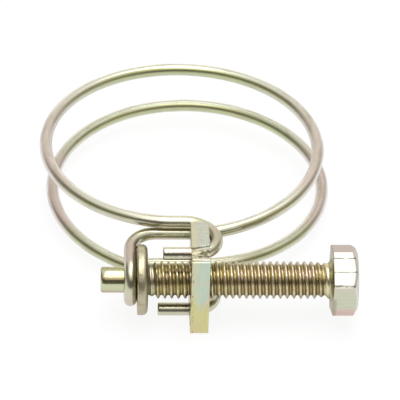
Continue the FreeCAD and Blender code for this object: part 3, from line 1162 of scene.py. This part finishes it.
def platePlating(s):
    material, t, place, tint, fine, speck = startPlating("platePlating", s)
    x, y, z = t.split(place)
    height = z.maths("ABSOLUTE")
    patches = t.noise(place, 0.32, 3.0, 0.6)

    # The front face: bluish above, yellow below, with a blush on the curved border
    front = t.smooth(y, *s["front"])
    colour = t.mix(front, tint, s["bluish"])
    aside = (x - s["borderMiddle"]) ** 2 * 1.5
    low = t.smooth(z + patches * 5.0 - aside, *s["border"])
    colour = t.mix(front * low, colour, s["yellow"])
    border = low * (1 - low) * 4 * t.smooth(x, *s["borderBlush"])
    colour = t.mix(front * border * 0.6, colour, s["blush"])

    # Tool marks, a cream edge and a blush in patches
    tool = t.noise(t.join(x * 1.4 + y * 1.1, y * 3.4 - x * 1.2, z * 0.4), 1.0, 3.0, 0.65)
    colour = t.mix(t.smooth(tool, 0.46, 0.62) * (1 - front * 0.7) * 0.5, colour, s["toolMarks"])
    edge = t.smooth(x + patches * 1.3, *s["creamEdge"])
    colour = t.mix(edge * 0.75 * (1 - front * low), colour, s["cream"])
    blush = t.smooth(t.noise(place, 0.5, 2.0), 0.56, 0.70)
    colour = t.mix(blush * 0.35, colour, s["blush"])
    brushed = t.noise(t.join(x * 0.5, y * 6.0, z * 0.5), 1.0, 3.0, 0.65)

    # The hammered ground: painted shade in its depths, and dark grooves
    # Painted shade: darker where the hammered ground lies deep
    deep = t.zone(s["deep"], height, y, y)
    colour = t.mix(deep * 0.85, colour, s["darkMarksAndShade"])
    grooves = t.noise(t.join(x * 1.2, y * 5.0, z * 0.5), 1.0, 2.0, 0.6)
    struck = t.zone(s["struckGround"], height, y, y)
    colour = t.mix(t.smooth(grooves, 0.45, 0.55) * struck * 0.75, colour, s["darkMarksAndShade"])
    colour = t.mix(struck * t.smooth(x, 0.6, 1.8, 0.45, 0.65), colour, s["struck"])

    # A dotted line and nicks at its front edge, painted shade along the rim, and pits all over
    dotted = t.line(y, s["dottedY"], 0.17) * t.smooth(height, *s["dottedHeight"])
    dotted = dotted * t.smooth(speck, 0.40, 0.50)
    colour = t.mix(dotted * t.smooth(x, 2.6, 1.4, 0.35, 0.8), colour, s["darkMarksAndShade"])
    nicks = t.smooth(t.noise(place, 3.1, 2.0, 0.6) - x * 0.13, 0.53, 0.57)
    nicked = nicks * t.zone(s["nicked"], x, y)
    colour = t.mix(nicked * 0.75, colour, s["darkMarksAndShade"])
    # Painted shade: a dark line along the front edge's rounding
    rim = t.line(height, s["rimHeight"], 0.14) * t.smooth(y, *s["rimFront"])
    colour = t.mix(rim * 0.75, colour, s["rim"])
    pits = t.smooth(speck, 0.66, 0.74)
    colour = t.mix(pits * 0.5, colour, s["pits"])

    roughness = s["roughness"] + s["grain"] * (fine - 0.5) + s["brushing"] * (brushed - 0.5)
    relief = brushed * 0.5 + fine * 0.5 + speck * 0.4 - pits * 0.6
    finishPlating(t, s, colour, roughness, relief, s["undersideShadeShare"])
    return material


# A block of small squares with rounded rims
def roundedBlock(s):
    low = Vector(s["low"])
    high = Vector(s["high"])
    radius = s["rounding"]
    inner = (low + Vector((radius,) * 3), high - Vector((radius,) * 3))
    counts = [round((high[axis] - low[axis]) / s["step"]) for axis in range(3)]
    vertices = []
    faces = []
    for axis in range(3):
        u, v = (axis + 1) % 3, (axis + 2) % 3
        for end in (low, high):
            base = len(vertices)
            for i in range(counts[u] + 1):
                for j in range(counts[v] + 1):
                    point = Vector((0, 0, 0))
                    point[axis] = end[axis]
                    point[u] = low[u] + (high[u] - low[u]) * i / counts[u]
                    point[v] = low[v] + (high[v] - low[v]) * j / counts[v]
                    core = Vector(min(max(point[a], inner[0][a]), inner[1][a]) for a in range(3))
                    vertices.append(core + (point - core).normalized() * radius)
            for i in range(counts[u]):
                for j in range(counts[v]):
                    corner = base + i * (counts[v] + 1) + j
                    faces.append((corner, corner + 1, corner + counts[v] + 2, corner + counts[v] + 1))
    return vertices, faces


# How far into a three-sided mark a point lies, from 0 at its sides to 1 in the middle
def dentAt(x, y, dent):
    centreX, centreY, reach, turn = dent
    inside = []
    for number in range(3):
        angle = math.radians(turn + 120 * number)
        inside.append(reach * 0.5 - (x - centreX) * math.cos(angle) - (y - centreY) * math.sin(angle))
    return max(0.0, min(inside) / (reach * 0.5))


# How deep the hammered ground lies under the plate's edge
def stakedDrop(s, x, y):
    middleX = (s["low"][0] + s["high"][0]) / 2
    thickness = s["high"][0] - s["low"][0]
    beyond = s["seamY"] + s["seamSlant"] * (x - middleX) / thickness - y
    if beyond < -0.3:
        return 0.0
    drop = s["stakeDepth"] * smoothStep(beyond, 0.0, 0.14)
    for depth, place, width in s["creases"]:
        drop += depth * math.exp(-((beyond - place) / width) ** 2)

    # Rough ripples on the left, a ridge near the front, then the chisel marks
    fromFront = y - s["low"][1]
    struck = smoothStep(beyond, 0.0, 0.3) * smoothStep(fromFront, *s["struckFrom"])
    rough = s["roughHeight"] * noise.noise(Vector((x * 0.7, y * 5.0, s["seed"])))
    phase = beyond / s["rippleSpacing"]
    wave = math.sin(2 * math.pi * phase + 3 * noise.noise(Vector((x * 0.8, y, s["seed"]))))
    ripple = s["rippleHeight"] * 0.5 * (1 + wave) * smoothStep(x, *s["rippleX"])
    drop += struck * (rough + ripple)
    front = smoothStep(fromFront, *s["ridgeTo"])
    drop -= front * (s["frontRise"] + smoothStep(fromFront, *s["ridgeFrom"]) * s["ridgeRise"])
    hit = min(1.0, max(dentAt(x, y, dent) for dent in s["dents"]) * 1.4)
    return max(0.0, drop + s["dentDepth"] * hit * smoothStep(fromFront, *s["dentsFrom"]))


def cutWith(piece, cutter):
    modifier = piece.modifiers.new("cut", "BOOLEAN")
    modifier.operation = "DIFFERENCE"
    modifier.solver = "EXACT"
    modifier.object = cutter
    piece.data = takeMesh(piece, modifier)
    bpy.data.objects.remove(cutter)


def makeNutPlate(s, wire, screw):
    vertices, faces = roundedBlock(s)
    middleX = (s["low"][0] + s["high"][0]) / 2
    bandLow = s["high"][2] - s["rounding"] - s["stakeBand"]
    moved = []
    for x, y, z in vertices:
        height = abs(z)
        if height > bandLow and y < s["seamY"] + 1.0:
            share = smoothStep(height, bandLow, s["high"][2])
            z = math.copysign(height - stakedDrop(s, x, y) * share, z)
        inset = s["wobble"] * (1 + noise.noise(Vector((x, y, z)) * 0.9))
        x += inset if x < middleX else -inset
        moved.append((x * mm, y * mm, z * mm))
    piece = meshPiece("stakedNutPlate", moved, faces)
    ends = (s["low"][0] - 1.0, s["high"][0] + 1.0)
    cutWith(piece, loftRings("boreCutter", [ringOf(screw, x, s["boreRadius"]) for x in ends]))
    for sign in (1, -1):
        cutWith(piece, seatCutter(s, wire, sign))
    piece.data.name = "stakedNutPlate"
    piece.data.materials.clear()
    piece.data.materials.append(platePlating(s["film"]))
    smoothShade(piece, 55)
    placePiece(piece, "clamp", "nut_plate")
    return piece


# A hook's own route, a little thicker than the wire
def seatCutter(s, wire, sign):
    route = halfRoute(wire, s["low"][0] - s["seatReach"], 0)[:3]
    runEnd = Vector((wire["hookX"] - s["runReach"], wire["runY"], wire["ringHeights"][0]))
    points = routePoints(route + [(runEnd, 0)], wire["step"])
    rings = []
    for number, point in enumerate(points):
        before = points[max(number - 1, 0)]
        after = points[min(number + 1, len(points) - 1)]
        aside = (after - before).normalized().cross(Vector((0, 0, 1)))
        ring = []
        for side in range(s["seatSides"]):
            turn = 2 * math.pi * side / s["seatSides"]
            place = point + aside * s["seatRadius"] * math.cos(turn)
            height = place.z + s["seatRadius"] * math.sin(turn)
            ring.append((place.x * mm, place.y * mm, sign * height * mm))
        rings.append(ring)
    return loftRings("seatCutter", rings)


hoseWire = makeHoseWire(wireSettings)
print("hose wire made:", len(hoseWire.data.polygons), "faces")
screw = makeScrew(screwSettings)
print("screw made:", len(screw.data.polygons), "faces")
washer = makeWasher(washerSettings)
print("washer made:", len(washer.data.polygons), "faces")
plate = makeNutPlate(plateSettings, wireSettings, screwSettings)
print("nut plate made:", len(plate.data.polygons), "faces")
